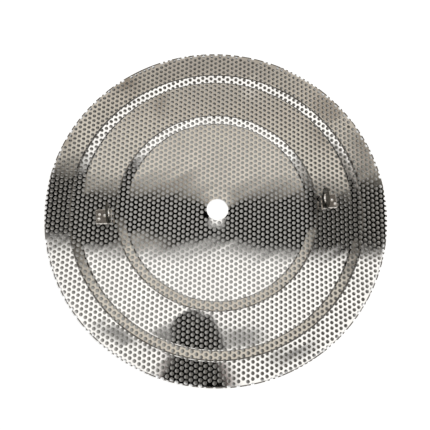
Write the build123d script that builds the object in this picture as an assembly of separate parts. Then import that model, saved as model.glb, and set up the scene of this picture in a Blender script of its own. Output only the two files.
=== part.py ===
from build123d import *
from build123d.topology import SkipClean
import math
import os

# Malt pipe screen: the perforated plate that carries the grain at the bottom of a malt pipe.
# One stainless sheet is perforated, blanked round, given a hole in the middle for the overflow
# pipe and pressed into two low steps that stiffen it. Two bent tabs are spot-welded on top, with
# an eye each, to lift it out by.
# Millimetres. The origin is on the axis of the pipe hole, at the height of the table that the
# screen lies on. +Z is up, and +X points from the axis to the right lug.

# Sheet
SHEET_THICKNESS = 0.8
OUTER_RADIUS = 134.0
PIPE_HOLE_RADIUS = 8.5

# From the rim inwards: the flat rim, the outer step, the flat ring that carries the lugs, the
# inner step, and the flat middle. Each step lifts the sheet outside it.
RIM_WIDTH = 18.8
OUTER_STEP_RISE = 1.55
RING_WIDTH = 28.8
INNER_STEP_RISE = 1.25
STEP_WIDTH = 7.2  # of each step's underside, before its bends are rounded
BEND_RADIUS = 8.0  # on the inside of each bend

# Perforation: round holes on a grid of equal triangles, punched before the sheet was blanked,
# so the grid is a little turned and off centre, and the cut edges run through its holes.
HOLE_DIAMETER = 2.7
HOLE_PITCH = 4.0
GRID_TURN = -6.3  # degrees, from +Y to a column of holes
GRID_OFFSET = (-1.88, -0.43)  # the hole nearest the axis would be here, if the sheet had it
GRAZE = 0.12  # a hole that only just misses or touches a cut edge within this is left out

# Lifting lugs: a strip bent up at a right angle, with a round head around the eye
LUG_SHEET = 1.2
LUG_WIDTH = 11.5  # of the foot and of the neck above the bend
LUG_HEAD_DIAMETER = 16.5
LUG_NECK_RADIUS = 1.5  # in the corner between neck and head
LUG_FOOT_LENGTH = 11.8  # from the upright's inner face to the foot's free end
LUG_STANDOFF = 3.8  # from the outer end of the inner step to the upright's inner face
LUG_BEND_RADIUS = 1.2  # on the inside of the bend
LUG_CORNER_RADIUS = 0.8  # at the foot's free corners
EYE_DIAMETER = 7.0
EYE_HEIGHT = 12.0  # from the sheet to the eye's centre, which is the head's centre too

# Spot weld marks on each foot: outwards from the upright's inner face, then to the left of that
RIGHT_WELDS = ((10.2, -2.7), (8.2, 0.6))
LEFT_WELDS = ((8.9, -1.6), (9.4, 1.8), (4.9, -0.6))
WELD_DIAMETER = 2.0
WELD_DEPTH = 0.25

# The sheet is revolved in this many equal sectors, so that each of its faces holds few holes
SECTORS = 24

HOLE_RADIUS = HOLE_DIAMETER / 2
OUTER_STEP_RADIUS = OUTER_RADIUS - RIM_WIDTH - STEP_WIDTH  # from the axis to where the step begins
INNER_STEP_RADIUS = OUTER_STEP_RADIUS - RING_WIDTH - STEP_WIDTH
STEPS = ((INNER_STEP_RADIUS, INNER_STEP_RISE), (OUTER_STEP_RADIUS, OUTER_STEP_RISE))
LUG_RADIUS = INNER_STEP_RADIUS + STEP_WIDTH + LUG_STANDOFF  # to the upright's inner face
SHEET_TOP_AT_LUGS = INNER_STEP_RISE + SHEET_THICKNESS
DRILL_PROUD = 1.0  # how far a cutter runs past the surfaces that it cuts


def sheet_section():
    """Half of the sheet's cross-section, in the XZ plane, with its rounded bends."""
    lower = [(PIPE_HOLE_RADIUS, 0)]
    upper = [(PIPE_HOLE_RADIUS, SHEET_THICKNESS)]
    level = 0
    for start, rise in STEPS:
        upper_shift = SHEET_THICKNESS * math.tan(math.atan2(rise, STEP_WIDTH) / 2)
        for radius, height in ((start, level), (start + STEP_WIDTH, level + rise)):
            lower.append((radius, height))
            upper.append((radius - upper_shift, height + SHEET_THICKNESS))
        level += rise
    lower.append((OUTER_RADIUS, level))
    upper.append((OUTER_RADIUS, level + SHEET_THICKNESS))
    outside_of_bend = BEND_RADIUS + SHEET_THICKNESS
    with BuildSketch(Plane.XZ) as section:
        with BuildLine():
            underside = FilletPolyline(*lower, radius=[outside_of_bend, BEND_RADIUS] * len(STEPS))
            top = FilletPolyline(*upper, radius=[BEND_RADIUS, outside_of_bend] * len(STEPS))
            Line(underside @ 0, top @ 0)
            Line(underside @ 1, top @ 1)
        make_face()
    return section.sketch


def plain_sheet():
    """The stepped disc with its pipe hole, not yet perforated."""
    sector = revolve(sheet_section(), Axis.Z, 360 / SECTORS).solid()
    sectors = [sector.rotate(Axis.Z, 360 / SECTORS * number) for number in range(SECTORS)]
    return sectors[0].fuse(*sectors[1:]).solid()


def is_punched(radius):
    """Whether a grid hole centred this far from the axis cuts the sheet, and more than grazes it."""
    if not PIPE_HOLE_RADIUS - HOLE_RADIUS < radius < OUTER_RADIUS + HOLE_RADIUS:
        return False
    edges = (PIPE_HOLE_RADIUS, OUTER_RADIUS)
    return all(abs(abs(radius - edge) - HOLE_RADIUS) >= GRAZE for edge in edges)


def hole_centres():
    """The centre of every hole that is punched in the sheet."""
    column_gap = HOLE_PITCH * math.sqrt(3) / 2
    reach = math.ceil((OUTER_RADIUS + HOLE_PITCH) / column_gap)
    centres = []
    for column in range(-reach, reach + 1):
        stagger = column % 2 * HOLE_PITCH / 2
        for row in range(-reach, reach + 1):
            on_grid = Vector(column * column_gap, row * HOLE_PITCH + stagger)
            centre = on_grid.rotate(Axis.Z, GRID_TURN) + Vector(*GRID_OFFSET)
            if is_punched(centre.length):
                centres.append(centre)
    return centres


def perforated_disc():
    """The whole stamped sheet, as one solid."""
    drill_length = sum(rise for _, rise in STEPS) + SHEET_THICKNESS + 2 * DRILL_PROUD
    drill = Solid.make_cylinder(HOLE_RADIUS, drill_length, Plane((0, 0, -DRILL_PROUD)))
    drills = [drill.translate(centre) for centre in hole_centres()]
    with SkipClean():
        return plain_sheet().cut(*drills).solid()


def weld_mark(out, side):
    """The round dent that a spot weld's electrode left in the top of the foot."""
    dent_radius = WELD_DIAMETER**2 / (8 * WELD_DEPTH) + WELD_DEPTH / 2
    centre_height = SHEET_TOP_AT_LUGS + LUG_SHEET - WELD_DEPTH + dent_radius
    return Pos(LUG_RADIUS + out, side, centre_height) * Sphere(dent_radius)


def lug_side_view():
    """The bent strip seen from its edge, in the XZ plane: foot, bend and upright."""
    foot_end = LUG_RADIUS + LUG_FOOT_LENGTH
    top = SHEET_TOP_AT_LUGS + EYE_HEIGHT + LUG_HEAD_DIAMETER / 2
    foot_top = SHEET_TOP_AT_LUGS + LUG_SHEET
    outer_face = LUG_RADIUS + LUG_SHEET
    outside = [(foot_end, SHEET_TOP_AT_LUGS), (LUG_RADIUS, SHEET_TOP_AT_LUGS), (LUG_RADIUS, top)]
    inside = [(foot_end, foot_top), (outer_face, foot_top), (outer_face, top)]
    with BuildSketch(Plane.XZ) as section:
        with BuildLine():
            back = FilletPolyline(*outside, radius=LUG_BEND_RADIUS + LUG_SHEET)
            front = FilletPolyline(*inside, radius=LUG_BEND_RADIUS)
            Line(back @ 0, front @ 0)
            Line(back @ 1, front @ 1)
        make_face()
    return section.sketch


def lug_front_view(eye_plane):
    """The lug seen along +X: a neck as wide as the foot, under a round head."""
    neck = Rectangle(LUG_WIDTH, EYE_HEIGHT, align=(Align.CENTER, Align.MAX))
    outline = neck + Circle(LUG_HEAD_DIAMETER / 2)
    corner_height = -math.sqrt(LUG_HEAD_DIAMETER**2 - LUG_WIDTH**2) / 2
    corners = [corner for corner in outline.vertices() if abs(corner.Y - corner_height) < LUG_SHEET]
    return eye_plane * fillet(corners, LUG_NECK_RADIUS)


def lug(welds):
    """A lug on the +X side, with its foot pointing outwards on the sheet."""
    length = LUG_FOOT_LENGTH + 2 * DRILL_PROUD
    eye_centre = (LUG_RADIUS - DRILL_PROUD, 0, SHEET_TOP_AT_LUGS + EYE_HEIGHT)
    eye_plane = Plane(eye_centre, x_dir=(0, 1, 0), z_dir=(1, 0, 0))
    bent_strip = extrude(lug_side_view(), LUG_HEAD_DIAMETER / 2, both=True)
    bent_strip &= extrude(lug_front_view(eye_plane), length)
    foot_corners = bent_strip.edges().filter_by(Axis.Z).sort_by(Axis.X)[-2:]
    bent_strip = fillet(foot_corners, LUG_CORNER_RADIUS)
    bent_strip -= extrude(eye_plane * Circle(EYE_DIAMETER / 2), length)
    for out, side in welds:
        bent_strip -= weld_mark(out, side)
    return bent_strip.solid()


os.makedirs("parts", exist_ok=True)
# The disc's curves are written once, in space and not also on each surface, to keep its file small
export_step(perforated_disc(), "parts/perforated_disc.step", write_pcurves=False)
export_step(lug(RIGHT_WELDS), "parts/lug_right.step")
export_step(lug(LEFT_WELDS).rotate(Axis.Z, 180), "parts/lug_left.step")
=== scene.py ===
"""Looks of the malt pipe screen: a bright stainless sheet with two lugs, on a white table."""

import logging
import math
from collections.abc import Sequence
from dataclasses import dataclass, field
from enum import Enum
from typing import Any

import bpy
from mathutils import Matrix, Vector


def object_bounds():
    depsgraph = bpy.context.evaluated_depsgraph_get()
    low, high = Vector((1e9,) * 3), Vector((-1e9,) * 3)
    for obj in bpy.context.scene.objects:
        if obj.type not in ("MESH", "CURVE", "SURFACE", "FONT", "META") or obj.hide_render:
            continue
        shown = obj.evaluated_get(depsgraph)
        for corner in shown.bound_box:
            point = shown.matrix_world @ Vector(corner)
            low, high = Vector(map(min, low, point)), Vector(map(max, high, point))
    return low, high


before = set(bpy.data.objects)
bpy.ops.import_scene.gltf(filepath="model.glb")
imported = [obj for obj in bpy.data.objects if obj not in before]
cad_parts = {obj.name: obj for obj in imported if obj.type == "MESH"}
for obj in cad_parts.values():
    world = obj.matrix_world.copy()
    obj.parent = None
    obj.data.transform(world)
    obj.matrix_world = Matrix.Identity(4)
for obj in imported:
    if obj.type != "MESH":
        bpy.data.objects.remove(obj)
cad_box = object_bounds()

LOG = logging.getLogger("screen")
MM = 0.001
RIM_MM = round(cad_box[1][0] / MM, 3)
PIPE_HOLE_MM = 8.5
WHITE = "#FFFFFF"

Colour = tuple[float, float, float, float]
Tree = bpy.types.NodeTree
Socket = bpy.types.NodeSocket


def linear(hex_colour: str) -> Colour:
    """Turns an sRGB hex colour into the linear one that the renderer works in.

    Args:
        hex_colour: six hex digits after a hash, such as "#BEB6AA".

    Returns:
        Red, green, blue and an alpha of 1.
    """
    shares = [int(hex_colour[start : start + 2], 16) / 255 for start in (1, 3, 5)]
    red, green, blue = (
        share / 12.92 if share <= 0.04045 else ((share + 0.055) / 1.055) ** 2.4
        for share in shares
    )
    return red, green, blue, 1.0


def add_node(
    tree: Tree,
    kind: str,
    inputs: dict[str | int, Any] | None = None,
    output: str | int = 0,
    **settings: Any,
) -> Socket | None:
    """Adds one shader node with its settings and links.

    Args:
        tree: the material's or the world's node tree.
        kind: the node's class name after "ShaderNode", such as "Math".
        inputs: values for its input sockets, by name, or by number where a name repeats. An
            output socket is linked, and anything else is set as the socket's own value.
        output: name or number of the output socket to hand back.
        **settings: attributes to set on the node.

    Returns:
        The chosen output socket, or None from a node that has no outputs.
    """
    node = tree.nodes.new("ShaderNode" + kind)
    for name, value in settings.items():
        setattr(node, name, value)
    for key, value in (inputs or {}).items():
        if isinstance(value, Socket):
            tree.links.new(value, node.inputs[key])
        else:
            node.inputs[key].default_value = value
    return node.outputs[output] if node.outputs else None


def empty_tree(owner: bpy.types.Material | bpy.types.World) -> Tree:
    """Turns on a material's or world's nodes and clears them.

    Args:
        owner: the material or the world.

    Returns:
        Its node tree, empty.
    """
    owner.use_nodes = True
    owner.node_tree.nodes.clear()
    return owner.node_tree


def before_paint(tree: Tree) -> Socket:
    """Tests for a ray that has met no paint yet.

    The table's lifted white and the room's picture are only for such rays, so that neither of
    them lights the table through the screen.

    Args:
        tree: the material's or the world's node tree.

    Returns:
        1 for such a ray, and otherwise 0.
    """
    paints_met = add_node(tree, "LightPath", output="Diffuse Depth")
    return add_node(tree, "Math", {0: paints_met, 1: 1.0}, operation="LESS_THAN")


class Finish(Enum):
    """The finishes, each by its material's name."""

    SHEET = "bright_annealed_stainless"
    STRIP = "rolled_stainless_strip"
    TABLE = "white_table_paint"


@dataclass(frozen=True)
class RimLean:
    """How the sheet leans along Y at one side, which is 1 towards +X and -1 towards -X.

    The lean begins at from_mm from the axis and is full after fade_mm more. Slope is what it
    is at the side's middle, and growth how much it gains for each metre along Y.
    """

    side: float
    from_mm: float
    slope: float
    growth: float
    fade_mm: float = 6.0


@dataclass(frozen=True)
class BrightAnnealedSheet:
    """Bright annealed stainless steel: cold rolled between polished rolls, then heated in clean gas.

    The eye gets a mirror that is only a little soft and warm grey. Long shallow waves from the
    rolling and narrow slanting ones from the punching make the edges of what it mirrors ragged.
    Punching the pipe hole raised a low crown around it, and pressing the outer step left the sheet
    outside it leaning a little at both sides. Each small hole has a slightly rounded lip. The
    shears left the sheet's outline matt and dark. The fine dark line along the top of each step is
    a painted reflection: it stands in for the dark beam overhead that the step's bend mirrors.

    The waves are given by their lengths along and across and their height, and the crowns by
    their radius and their height. Each pair of edges is where something begins and ends.
    """

    colour: str = "#E6E3DE"
    roughness: float = 0.035
    # Dark colour of the sheared outline, and of the painted reflection along the step bends.
    dull_and_shade_colour: str = "#5E5952"
    dull_roughness: float = 0.4
    outline_edges_mm: tuple[float, float] = (RIM_MM - 1.0, RIM_MM - 0.5)
    # Radii of the painted dark lines along the top of each step's bend: a painted reflection.
    shade_lines_mm: tuple[float, float] = (78.95, 114.6)
    shade_line_edges_mm: tuple[float, float] = (0.2, 0.5)
    lip_mm: float = 0.18
    lip_samples: int = 4
    waves_mm: tuple[tuple[float, float, float], ...] = ((60.0, 60.0, 0.05), (60.0, 8.0, 0.05))
    wave_turn_deg: float = 28.0
    wave_detail: float = 1.0
    wave_roughness: float = 0.35
    crowns_mm: tuple[tuple[float, float], ...] = ((18.0, 0.14), (50.0, 0.32))
    leans: tuple[RimLean, ...] = (
        RimLean(-1.0, 104.0, -0.0115, -0.18),
        RimLean(1.0, 110.0, -0.0125, -0.25),
    )
    lean_reach_mm: float = 45.0
    lean_side_mm: float = 110.0

    def add_crowns(self, tree: Tree, place: Socket, height: Socket) -> Socket:
        """Adds the crown around the pipe hole: a steep lip on a wider dome.

        Args:
            tree: the material's node tree.
            place: the point on the sheet, in metres.
            height: the sheet's height so far, in metres.

        Returns:
            The height in metres.
        """
        flat = add_node(tree, "VectorMath", {0: place, 1: (1.0, 1.0, 0.0)}, operation="MULTIPLY")
        radius = add_node(tree, "VectorMath", {0: flat}, "Value", operation="LENGTH")
        for reach, top in self.crowns_mm:
            edges = {"From Min": PIPE_HOLE_MM * MM, "From Max": reach * MM}
            falling = {"Value": radius, **edges, "To Min": 1.0, "To Max": 0.0}
            share = add_node(tree, "MapRange", falling)
            square = add_node(tree, "Math", {0: share, 1: 2.0}, operation="POWER")
            raised = {0: square, 1: top * MM, 2: height}
            height = add_node(tree, "Math", raised, operation="MULTIPLY_ADD")
        return height

    def waves(self, tree: Tree, place: Socket) -> Socket:
        """Works out the height of the sheet's shallow waves.

        Args:
            tree: the material's node tree.
            place: the point on the sheet, in metres.

        Returns:
            The height in metres.
        """
        height: Any = 0.0
        turn = (0.0, 0.0, math.radians(self.wave_turn_deg))
        detail = {"Scale": 1.0, "Detail": self.wave_detail, "Roughness": self.wave_roughness}
        for along, across, top in self.waves_mm:
            size = (along * MM, across * MM, along * MM)
            laid = {"Vector": place, "Rotation": turn, "Scale": size}
            moved = add_node(tree, "Mapping", laid, vector_type="TEXTURE")
            noise = add_node(tree, "TexNoise", {"Vector": moved, **detail})
            raised = {0: noise, 1: top * MM, 2: height}
            height = add_node(tree, "Math", raised, operation="MULTIPLY_ADD")
        return height

    def lean_rim(self, tree: Tree, place: Socket, normal: Socket) -> Socket:
        """Leans the sheet's outer part along Y at each side.

        Args:
            tree: the material's node tree.
            place: the point on the sheet, in metres.
            normal: the sheet's normal so far.

        Returns:
            The normal.
        """
        x, y = (add_node(tree, "SeparateXYZ", {"Vector": place}, axis) for axis in "XY")
        reach = self.lean_reach_mm * MM
        y = add_node(tree, "Clamp", {"Value": y, "Min": -reach, "Max": reach})
        radius = add_node(tree, "VectorMath", {0: place}, "Value", operation="LENGTH")
        for lean in self.leans:
            start, end = lean.from_mm * MM, (lean.from_mm + lean.fade_mm) * MM
            edges = {"Value": radius, "From Min": start, "From Max": end}
            outside = add_node(tree, "MapRange", edges, interpolation_type="SMOOTHSTEP")
            side = lean.side * self.lean_side_mm * MM
            edges = {"Value": x, "From Min": 0.0, "From Max": side}
            beside = add_node(tree, "MapRange", edges, interpolation_type="SMOOTHSTEP")
            share = add_node(tree, "Math", {0: outside, 1: beside}, operation="MULTIPLY")
            grown = {0: y, 1: lean.growth, 2: lean.slope}
            slope = add_node(tree, "Math", grown, operation="MULTIPLY_ADD")
            tilt = add_node(tree, "Math", {0: slope, 1: share}, operation="MULTIPLY")
            change = add_node(tree, "CombineXYZ", {"Y": tilt})
            normal = add_node(tree, "VectorMath", {0: normal, 1: change}, operation="ADD")
        return add_node(tree, "VectorMath", {0: normal}, operation="NORMALIZE")

    def dull_and_shade_share(self, tree: Tree, place: Socket) -> Socket:
        """Works out the matt outline and the painted dark lines along the step bends.

        Args:
            tree: the material's node tree.
            place: the point on the sheet, in metres.

        Returns:
            The share, from 0 where it is bright to 1.
        """
        radius = add_node(tree, "VectorMath", {0: place}, "Value", operation="LENGTH")
        start, end = (edge * MM for edge in self.outline_edges_mm)
        share = add_node(tree, "MapRange", {"Value": radius, "From Min": start, "From Max": end})
        start, end = (edge * MM for edge in self.shade_line_edges_mm)
        falling = {"From Min": start, "From Max": end, "To Min": 1.0, "To Max": 0.0}
        # Painted reflection: a dark line along each step's bend, standing in for the dark beam it
        # mirrors.
        for line in self.shade_lines_mm:
            beside = add_node(tree, "Math", {0: radius, 1: line * MM}, operation="SUBTRACT")
            away = add_node(tree, "Math", {0: beside}, operation="ABSOLUTE")
            on_line = add_node(tree, "MapRange", {"Value": away, **falling})
            share = add_node(tree, "Math", {0: share, 1: on_line}, operation="MAXIMUM")
        return share

    def material(self) -> bpy.types.Material:
        """Makes the material.

        Returns:
            The material.
        """
        material = bpy.data.materials.new(Finish.SHEET.value)
        tree = empty_tree(material)
        place = add_node(tree, "TexCoord", output="Object")
        height = self.add_crowns(tree, place, self.waves(tree, place))
        bump = add_node(tree, "Bump", {"Strength": 1.0, "Distance": 1.0, "Height": height})
        leaned = self.lean_rim(tree, place, bump)
        rounding = {"Radius": self.lip_mm * MM, "Normal": leaned}
        lip = add_node(tree, "Bevel", rounding, samples=self.lip_samples)
        # The dark colour is the outline's own, and along the step bends it is a painted reflection.
        dull_and_shade = self.dull_and_shade_share(tree, place)
        colours = {"Factor": dull_and_shade, "A": linear(self.colour), "B": linear(self.dull_and_shade_colour)}
        colour = add_node(tree, "Mix", colours, "Result", data_type="RGBA")
        roughs = {"Factor": dull_and_shade, "A": self.roughness, "B": self.dull_roughness}
        rough = add_node(tree, "Mix", roughs, "Result", data_type="FLOAT")
        look = {"Base Color": colour, "Metallic": 1.0, "Roughness": rough, "Normal": lip}
        steel = add_node(tree, "BsdfPrincipled", look)
        add_node(tree, "OutputMaterial", {"Surface": steel})
        return material


@dataclass(frozen=True)
class RolledStrip:
    """Cold rolled stainless strip, sheared, bent up and then spot-welded by its foot.

    The upright mirrors the dark sheet below it, and its colour is darkened further as painted
    reflection and painted shade. It has a matt sheared edge. The top of the foot is soft and
    brown from the heat of the welds.
    foot's sheared edges, which are rounded a little, stay bright. The rolls left a grain that is
    too fine to show, so it is drawn at grain_mm.

    The foot's top is heated where it is as level as heated_level gives, and the upright is
    sheared where it faces X by less than sheared_facing gives.
    """

    colour: str = "#E6E3DE"
    roughness: float = 0.1
    # The upright's colour: darkened as painted reflection and painted shade.
    painted_upright_shade: str = "#74716A"
    upright_edges_mm: tuple[float, float] = (3.6, 4.4)
    heated_colour: str = "#8C857E"
    heated_roughness: float = 0.24
    heated_level: tuple[float, float] = (0.985, 0.998)
    sheared_colour: str = "#4A4842"
    sheared_roughness: float = 0.45
    sheared_facing: tuple[float, float] = (0.2, 0.4)
    eye_height_mm: float = 14.05
    eye_reach_mm: float = 5.5
    foot_lip_mm: float = 0.9
    upright_lip_mm: float = 0.3
    lip_samples: int = 8
    grain_mm: float = 1.6
    grain_detail: float = 2.0
    grain_spread: tuple[float, float] = (0.7, 1.3)

    def sheared_share(self, tree: Tree) -> Socket:
        """Works out where a lug was cut, from the way that its surface faces.

        Args:
            tree: the material's node tree.

        Returns:
            The share, from 0 on the strip's faces to 1 on its cut edges.
        """
        normal = add_node(tree, "TexCoord", output="Normal")
        along_x = add_node(tree, "SeparateXYZ", {"Vector": normal}, "X")
        facing = add_node(tree, "Math", {0: along_x}, operation="ABSOLUTE")
        start, end = self.sheared_facing
        edges = {"From Min": start, "From Max": end, "To Min": 1.0, "To Max": 0.0}
        return add_node(tree, "MapRange", {"Value": facing, **edges})

    def zones(
        self, tree: Tree, place: Socket, height: Socket, upright: Socket, lip: Socket
    ) -> tuple[Socket, Socket, Socket, Socket]:
        """Works out which part of a lug a point is on.

        Args:
            tree: the material's node tree.
            place: the point on the lug, in metres.
            height: its height, in metres.
            upright: how far it is on the upright.
            lip: the normal with its rounded lips.

        Returns:
            How far it is on the foot's heated top, on the upright, on its outline and in its eye.
        """
        side = add_node(tree, "SeparateXYZ", {"Vector": place}, "Y")
        level = add_node(tree, "SeparateXYZ", {"Vector": lip}, "Z")
        start, end = self.heated_level
        heated = add_node(tree, "MapRange", {"Value": level, "From Min": start, "From Max": end})
        sheared = self.sheared_share(tree)
        eye_height, eye_reach = self.eye_height_mm * MM, self.eye_reach_mm * MM
        over_eye = add_node(tree, "Math", {0: height, 1: eye_height}, operation="SUBTRACT")
        from_eye = add_node(tree, "CombineXYZ", {"Y": side, "Z": over_eye})
        away = add_node(tree, "VectorMath", {0: from_eye}, "Value", operation="LENGTH")
        outer = add_node(tree, "Math", {0: away, 1: eye_reach}, operation="GREATER_THAN")
        cut = add_node(tree, "Math", {0: sheared, 1: upright}, operation="MULTIPLY")
        outline = add_node(tree, "Math", {0: cut, 1: outer}, operation="MULTIPLY")
        bore = add_node(tree, "Math", {0: cut, 1: outline}, operation="SUBTRACT")
        return heated, upright, outline, bore

    def add_grain(self, tree: Tree, place: Socket, rough: Socket) -> Socket:
        """Adds the grain of the rolls, as a little more and less roughness.

        Args:
            tree: the material's node tree.
            place: the point on the lug, in metres.
            rough: the roughness so far.

        Returns:
            The roughness.
        """
        scale = 1 / (self.grain_mm * MM)
        drawn = {"Vector": place, "Scale": scale, "Detail": self.grain_detail}
        grain = add_node(tree, "TexNoise", drawn)
        least, most = self.grain_spread
        spread = add_node(tree, "MapRange", {"Value": grain, "To Min": least, "To Max": most})
        return add_node(tree, "Math", {0: rough, 1: spread}, operation="MULTIPLY")

    def material(self) -> bpy.types.Material:
        """Makes the material.

        Returns:
            The material.
        """
        material = bpy.data.materials.new(Finish.STRIP.value)
        tree = empty_tree(material)
        place = add_node(tree, "TexCoord", output="Object")
        height = add_node(tree, "SeparateXYZ", {"Vector": place}, "Z")
        start, end = (edge * MM for edge in self.upright_edges_mm)
        upright = add_node(tree, "MapRange", {"Value": height, "From Min": start, "From Max": end})
        lips = {"Factor": upright, "A": self.foot_lip_mm * MM, "B": self.upright_lip_mm * MM}
        radius = add_node(tree, "Mix", lips, "Result", data_type="FLOAT")
        lip = add_node(tree, "Bevel", {"Radius": radius}, samples=self.lip_samples)

        colour, rough = linear(self.colour), self.roughness
        finishes = (
            (self.heated_colour, self.heated_roughness),
            # The upright's colour is painted reflection and painted shade, not the steel's own.
            (self.painted_upright_shade, self.roughness),
            (self.sheared_colour, self.sheared_roughness),
            (self.colour, self.roughness),
        )
        zones = self.zones(tree, place, height, upright, lip)
        for share, (zone_colour, zone_rough) in zip(zones, finishes):
            colours = {"Factor": share, "A": colour, "B": linear(zone_colour)}
            colour = add_node(tree, "Mix", colours, "Result", data_type="RGBA")
            roughs = {"Factor": share, "A": rough, "B": zone_rough}
            rough = add_node(tree, "Mix", roughs, "Result", data_type="FLOAT")
        rough = self.add_grain(tree, place, rough)
        look = {"Base Color": colour, "Metallic": 1.0, "Roughness": rough, "Normal": lip}
        steel = add_node(tree, "BsdfPrincipled", look)
        add_node(tree, "OutputMaterial", {"Surface": steel})
        return material


@dataclass
class PerforatedDisc:
    """The stamped and perforated sheet."""

    node: str = "perforated_disc"
    finish: BrightAnnealedSheet = field(default_factory=BrightAnnealedSheet)

    def dress(self) -> bpy.types.Object:
        """Gives the sheet its steel.

        Returns:
            The dressed piece.
        """
        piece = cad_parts[self.node]
        piece.data.materials.clear()
        piece.data.materials.append(self.finish.material())
        return piece


@dataclass
class LiftingLugs:
    """The two bent tabs on the sheet."""

    nodes: tuple[str, ...] = ("lug_right", "lug_left")
    finish: RolledStrip = field(default_factory=RolledStrip)

    def dress(self) -> list[bpy.types.Object]:
        """Gives both lugs their steel.

        Returns:
            The dressed pieces.
        """
        material = self.finish.material()
        pieces = [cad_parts[name] for name in self.nodes]
        for piece in pieces:
            piece.data.materials.clear()
            piece.data.materials.append(material)
        return pieces


@dataclass(frozen=True)
class WhiteTablePaint:
    """Matt white paint, rolled on.

    The eye gets a plain warm white without a gloss. For the camera and for mirrors it is lifted
    to a clean white in the pipe hole and outside the screen, where the lift comes in between
    lift_edges_mm from its centre. What shows through the small holes isn't lifted.
    """

    colour: str = "#F1EFEB"
    lift: float = 0.72
    lift_centre_mm: tuple[float, float, float] = (0.2, 0.85, 0.0)
    lift_edges_mm: tuple[float, float] = (RIM_MM - 1.4, RIM_MM + 1.1)
    hole_lift_mm: float = PIPE_HOLE_MM + 0.1

    def lifted_share(self, tree: Tree) -> Socket:
        """Works out how far the paint is lifted, by its place.

        Args:
            tree: the material's node tree.

        Returns:
            The share, from 0 under the screen to 1.
        """
        place = add_node(tree, "TexCoord", output="Object")
        radius = add_node(tree, "VectorMath", {0: place}, "Value", operation="LENGTH")
        centre = tuple(value * MM for value in self.lift_centre_mm)
        away = add_node(tree, "VectorMath", {0: place, 1: centre}, "Value", operation="DISTANCE")
        start, end = (edge * MM for edge in self.lift_edges_mm)
        edges = {"Value": away, "From Min": start, "From Max": end}
        outside = add_node(tree, "MapRange", edges, interpolation_type="SMOOTHSTEP")
        hole = self.hole_lift_mm * MM
        inside = add_node(tree, "Math", {0: radius, 1: hole}, operation="LESS_THAN")
        return add_node(tree, "Math", {0: outside, 1: inside}, operation="MAXIMUM")

    def material(self) -> bpy.types.Material:
        """Makes the material.

        Returns:
            The material.
        """
        material = bpy.data.materials.new(Finish.TABLE.value)
        tree = empty_tree(material)
        where = self.lifted_share(tree)
        camera = add_node(tree, "LightPath", output="Is Camera Ray")
        glossy = add_node(tree, "LightPath", output="Is Glossy Ray")
        seen = add_node(tree, "Math", {0: camera, 1: glossy}, operation="MAXIMUM")
        seen = add_node(tree, "Math", {0: seen, 1: before_paint(tree)}, operation="MULTIPLY")
        shown = add_node(tree, "Math", {0: where, 1: seen}, operation="MULTIPLY")
        strength = add_node(tree, "Math", {0: shown, 1: self.lift}, operation="MULTIPLY")
        paint = add_node(tree, "BsdfDiffuse", {"Color": linear(self.colour)})
        glow = add_node(tree, "Emission", {"Color": linear(WHITE), "Strength": strength})
        both = add_node(tree, "AddShader", {0: paint, 1: glow})
        add_node(tree, "OutputMaterial", {"Surface": both})
        return material


@dataclass
class Table:
    """The white table top, which is just clear of the screen so that the two don't flicker."""

    half_side_m: float = 4.0
    drop_mm: float = 0.05
    finish: WhiteTablePaint = field(default_factory=WhiteTablePaint)

    def build(self) -> bpy.types.Object:
        """Builds the table top.

        Returns:
            The table top, marked as part of the stage.
        """
        side, height = self.half_side_m, -self.drop_mm * MM
        mesh = bpy.data.meshes.new("table_top")
        signs = ((-1, -1), (1, -1), (1, 1), (-1, 1))
        mesh.from_pydata([(x * side, y * side, height) for x, y in signs], [], [(0, 1, 2, 3)])
        mesh.materials.append(self.finish.material())
        top = bpy.data.objects.new("table_top", mesh)
        bpy.context.scene.collection.objects.link(top)
        return top


BLURRED = (0.1, 1.4)


@dataclass(frozen=True)
class Patch:
    """A soft-edged patch in the room's picture, such as a lamp or something dark.

    Its centre and half sizes are leans, as Room has them, and turn is in degrees. Its edge
    fades from full at the first share of its half size to nothing at the second. Amount is how
    far it covers what is under it. Taper is how much wider it gets, as a share, from its middle
    to its end towards +Y. A roundness of 2 is an ellipse, and more is nearer to a rectangle.
    """

    along: float
    across: float
    half_along: float
    half_across: float
    turn: float = 0.0
    fade: tuple[float, float] = (0.85, 1.1)
    colour: str = "#060606"
    amount: float = 1.0
    taper: float = 0.0
    roundness: float = 2.0

    def add_to(self, tree: Tree, under: Socket, along: Socket, across: Socket) -> Socket:
        """Paints the patch over the room's picture.

        Args:
            tree: the world's node tree.
            under: the colour so far.
            along: the lean along.
            across: the lean across.

        Returns:
            The colour with the patch on it.
        """
        laid = {
            "Vector": add_node(tree, "CombineXYZ", {"X": across, "Y": along}),
            "Location": (self.across, self.along, 0.0),
            "Rotation": (0.0, 0.0, math.radians(self.turn)),
            "Scale": (self.half_across, self.half_along, 1.0),
        }
        moved = add_node(tree, "Mapping", laid, vector_type="TEXTURE")
        side, end = (add_node(tree, "SeparateXYZ", {"Vector": moved}, axis) for axis in "XY")
        width = add_node(tree, "Math", {0: end, 1: self.taper, 2: 1.0}, operation="MULTIPLY_ADD")
        side = add_node(tree, "Math", {0: side, 1: width}, operation="DIVIDE")
        powers = []
        for value in (side, end):
            size = add_node(tree, "Math", {0: value}, operation="ABSOLUTE")
            powers.append(add_node(tree, "Math", {0: size, 1: self.roundness}, operation="POWER"))
        total = add_node(tree, "Math", dict(enumerate(powers)), operation="ADD")
        away = add_node(tree, "Math", {0: total, 1: 1 / self.roundness}, operation="POWER")
        start, end = self.fade
        falling = {"From Min": start, "From Max": end, "To Min": self.amount, "To Max": 0.0}
        edges = {"Value": away, **falling}
        share = add_node(tree, "MapRange", edges, interpolation_type="SMOOTHSTEP")
        colours = {"Factor": share, "A": under, "B": linear(self.colour)}
        return add_node(tree, "Mix", colours, "Result", data_type="RGBA")


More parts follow.
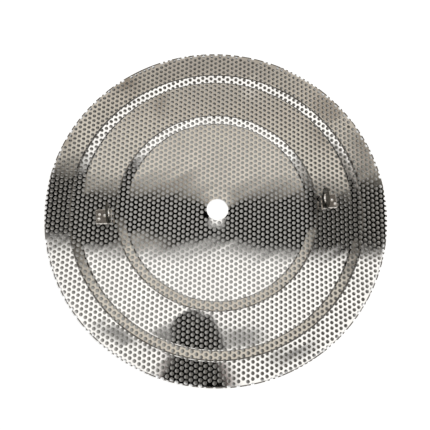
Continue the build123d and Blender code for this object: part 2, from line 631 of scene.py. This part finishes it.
@dataclass
class Room:
    """The room around the table, as light and as what the bright sheet shows of it.

    A direction is given by how far it leans from straight up: along is the lean towards +Y and
    across the lean towards +X, each as the tangent of its angle. Overhead, the picture is bands
    from the near side to the walls, a little turned, with patches and a faint mottle over them.
    Below overhead_edges it is the colours around, by the upward share of the direction.
    Mirrored is how bright the picture is in the steel, and sky how bright the room is as light.
    """

    turn: float = 0.09
    span: tuple[float, float] = (-0.8, 0.8)
    near_edges: tuple[float, float] = (-0.75, -0.5)
    beam_edges: tuple[float, float, float, float] = (0.135, 0.169, 0.268, 0.325)
    near_side: str = "#8E8A85"
    ceiling: str = WHITE
    beam: str = "#050505"
    walls: tuple[tuple[float, str], ...] = (
        (0.345, "#CAC5BC"),
        (0.41, "#C7C1B7"),
        (0.46, "#BAB3A9"),
        (0.50, "#B2ACA3"),
        (0.58, "#A8A29A"),
    )
    patches: tuple[Patch, ...] = (
        Patch(-0.02, 0.082, 0.026, 0.055, -6.0, (0.3, 1.3), "#6A6A6A", 0.75, roundness=3.0),
        Patch(-0.006, -0.07, 0.022, 0.034, 32.0, (0.2, 1.3), "#4A4A4A", 0.85),
        Patch(-0.098, -0.012, 0.058, 0.075, 0.0, (0.8, 1.25), "#4A2C22", 0.8, -0.22, 4.0),
        Patch(-0.004, -0.006, 0.045, 0.051, fade=(0.88, 1.08), taper=-0.3, roundness=4.0),
        Patch(-0.1, -0.0145, 0.062, 0.065, taper=-0.24, roundness=4.0),
        Patch(0.002, -0.15, 0.016, 0.05, -25.0, BLURRED, "#404040", 0.8),
        Patch(-0.055, 0.18, 0.016, 0.05, 12.0, BLURRED, "#404040", 0.8),
        Patch(0.481, -0.045, 0.032, 0.018, -12.0, BLURRED, "#7D7368", 0.6),
        Patch(0.505, -0.114, 0.03, 0.03, 0.0, BLURRED, "#7D7368", 0.8),
        Patch(0.395, 0.31, 0.05, 0.05, 0.0, BLURRED, "#8D847A", 0.8),
        Patch(0.31, 0.38, 0.05, 0.05, 0.0, BLURRED, "#5E564E", 0.7),
        Patch(0.178, -0.1, 0.022, 0.05, 0.0, BLURRED, "#D8D4CE", 0.5),
        Patch(0.367, -0.241, 0.03, 0.02, 0.0, BLURRED, "#7D7368", 0.5),
        Patch(0.499, 0.149, 0.02, 0.024, 0.0, BLURRED, "#E4E0DA", 0.5),
        Patch(0.315, -0.02, 0.014, 0.05, 26.0, BLURRED, "#5E564E", 0.6),
    )
    mottle: tuple[float, float] = (0.92, 1.08)
    mottle_noise: tuple[float, float] = (0.3, 0.7)
    mottle_scale: float = 22.0
    mottle_detail: float = 3.0
    overhead_edges: tuple[float, float] = (0.72, 0.84)
    around: tuple[tuple[float, str], ...] = (
        (0.0, "#5C5955"),
        (0.15, "#77736E"),
        (0.35, "#B5B1AB"),
        (0.55, "#F0EDE8"),
        (0.75, "#BDB9B3"),
    )
    least_upward: float = 0.02
    mirrored: float = 1.3
    sky: float = 0.1

    def lean(self, tree: Tree) -> tuple[Socket, Socket, Socket]:
        """Works out how far a direction leans from straight up.

        Args:
            tree: the world's node tree.

        Returns:
            The lean along, the lean across, and the direction's upward share.
        """
        direction = add_node(tree, "TexCoord", output="Generated")
        x, y, z = (add_node(tree, "SeparateXYZ", {"Vector": direction}, axis) for axis in "XYZ")
        up = add_node(tree, "Math", {0: z, 1: self.least_upward}, operation="MAXIMUM")
        along = add_node(tree, "Math", {0: y, 1: up}, operation="DIVIDE")
        across = add_node(tree, "Math", {0: x, 1: up}, operation="DIVIDE")
        return along, across, z

    def ramp(self, tree: Tree, share: Socket, stops: Sequence[tuple[float, str]]) -> Socket:
        """Adds a ramp of colours.

        Args:
            tree: the world's node tree.
            share: what the ramp reads, from 0 to 1.
            stops: the places and colours along it.

        Returns:
            The colour.
        """
        colour = add_node(tree, "ValToRGB", {"Fac": share})
        elements = colour.node.color_ramp.elements
        while len(elements) < len(stops):
            elements.new(1.0)
        for element, (place, name) in zip(elements, stops):
            element.position = place
            element.color = linear(name)
        return colour

    def bands(self, tree: Tree, along: Socket, across: Socket) -> Socket:
        """Paints the ceiling, the dark beam across it and the walls.

        Args:
            tree: the world's node tree.
            along: the lean along.
            across: the lean across.

        Returns:
            The colour.
        """
        turned = {0: across, 1: self.turn, 2: along}
        lean = add_node(tree, "Math", turned, operation="MULTIPLY_ADD")
        lowest, highest = self.span
        share = add_node(tree, "MapRange", {"Value": lean, "From Min": lowest, "From Max": highest})
        near_end, near_start = self.near_edges
        first, dark, dark_end, last = self.beam_edges
        stops = [
            (near_end, self.near_side),
            (near_start, self.ceiling),
            (first, self.ceiling),
            (dark, self.beam),
            (dark_end, self.beam),
            (last, self.walls[0][1]),
            *self.walls,
        ]
        placed = [((stop - lowest) / (highest - lowest), name) for stop, name in stops]
        return self.ramp(tree, share, placed)

    def picture(self, tree: Tree) -> Socket:
        """Paints what the bright sheet shows of the room.

        Args:
            tree: the world's node tree.

        Returns:
            The colour.
        """
        along, across, upward = self.lean(tree)
        overhead = self.bands(tree, along, across)
        for patch in self.patches:
            overhead = patch.add_to(tree, overhead, along, across)
        place = add_node(tree, "CombineXYZ", {"X": across, "Y": along})
        drawn = {"Vector": place, "Scale": self.mottle_scale, "Detail": self.mottle_detail}
        noise = add_node(tree, "TexNoise", drawn)
        names = ("From Min", "From Max", "To Min", "To Max")
        edges = dict(zip(names, (*self.mottle_noise, *self.mottle)))
        mottle = add_node(tree, "MapRange", {"Value": noise, **edges})
        mottled = {0: overhead, "Scale": mottle}
        overhead = add_node(tree, "VectorMath", mottled, operation="SCALE")
        start, end = self.overhead_edges
        edges = {"Value": upward, "From Min": start, "From Max": end}
        high = add_node(tree, "MapRange", edges, interpolation_type="SMOOTHSTEP")
        around = self.ramp(tree, upward, self.around)
        colours = {"Factor": high, "A": around, "B": overhead}
        return add_node(tree, "Mix", colours, "Result", data_type="RGBA")

    def build(self) -> bpy.types.World:
        """Builds the world: a plain light, the picture for mirrors and white for the camera.

        Returns:
            The world.
        """
        world = bpy.data.worlds.new("room")
        bpy.context.scene.world = world
        tree = empty_tree(world)
        picture, white = self.picture(tree), linear(WHITE)
        light = add_node(tree, "Background", {"Color": white, "Strength": self.sky})
        mirror = add_node(tree, "Background", {"Color": picture, "Strength": self.mirrored})
        backdrop = add_node(tree, "Background", {"Color": white, "Strength": 1.0})
        glossy = add_node(tree, "LightPath", output="Is Glossy Ray")
        camera = add_node(tree, "LightPath", output="Is Camera Ray")
        mirrors = add_node(tree, "Math", {0: glossy, 1: before_paint(tree)}, operation="MULTIPLY")
        lit = add_node(tree, "MixShader", {0: mirrors, 1: light, 2: mirror})
        seen = add_node(tree, "MixShader", {0: camera, 1: lit, 2: backdrop})
        add_node(tree, "OutputWorld", {"Surface": seen})
        return world


@dataclass
class Window:
    """The window's daylight, from high on the right, as one soft sun."""

    towards: tuple[float, float, float] = (0.42, 0.1, 1.0)
    strength: float = 1.1
    width_deg: float = 22.0

    def build(self) -> bpy.types.Object:
        """Builds the light.

        Returns:
            The light.
        """
        data = bpy.data.lights.new("window", "SUN")
        data.energy = self.strength
        data.angle = math.radians(self.width_deg)
        light = bpy.data.objects.new("window", data)
        light.rotation_euler = Vector(self.towards).to_track_quat("Z", "Y").to_euler()
        light.visible_glossy = False
        bpy.context.scene.collection.objects.link(light)
        return light


@dataclass
class PhotoCamera:
    """The camera, where the photograph was taken from."""

    place_mm: tuple[float, float, float] = (-22.49, -92.69, 386.84)
    turn_deg: tuple[float, float, float] = (13.064, -1.948, -4.535)
    lens_mm: float = 42.2
    sensor_mm: float = 36.0
    clip_m: tuple[float, float] = (0.01, 50.0)

    def build(self) -> bpy.types.Object:
        """Builds the camera and makes it the scene's.

        Returns:
            The camera.
        """
        data = bpy.data.cameras.new("photo_camera")
        data.lens = self.lens_mm
        data.sensor_width = self.sensor_mm
        data.clip_start, data.clip_end = self.clip_m
        camera = bpy.data.objects.new("photo_camera", data)
        camera.location = [value * MM for value in self.place_mm]
        camera.rotation_euler = [math.radians(value) for value in self.turn_deg]
        bpy.context.scene.collection.objects.link(camera)
        bpy.context.scene.camera = camera
        return camera


def main() -> None:
    """Builds the camera, the room and the table, and dresses the screen's pieces."""
    logging.basicConfig(level=logging.INFO)
    bpy.context.scene.view_settings.view_transform = "Standard"
    PhotoCamera().build()
    Room().build()
    Window().build()
    Table().build()
    LOG.info("dressed %s", PerforatedDisc().dress().name)
    for piece in LiftingLugs().dress():
        LOG.info("dressed %s", piece.name)


if __name__ == "__main__":
    main()
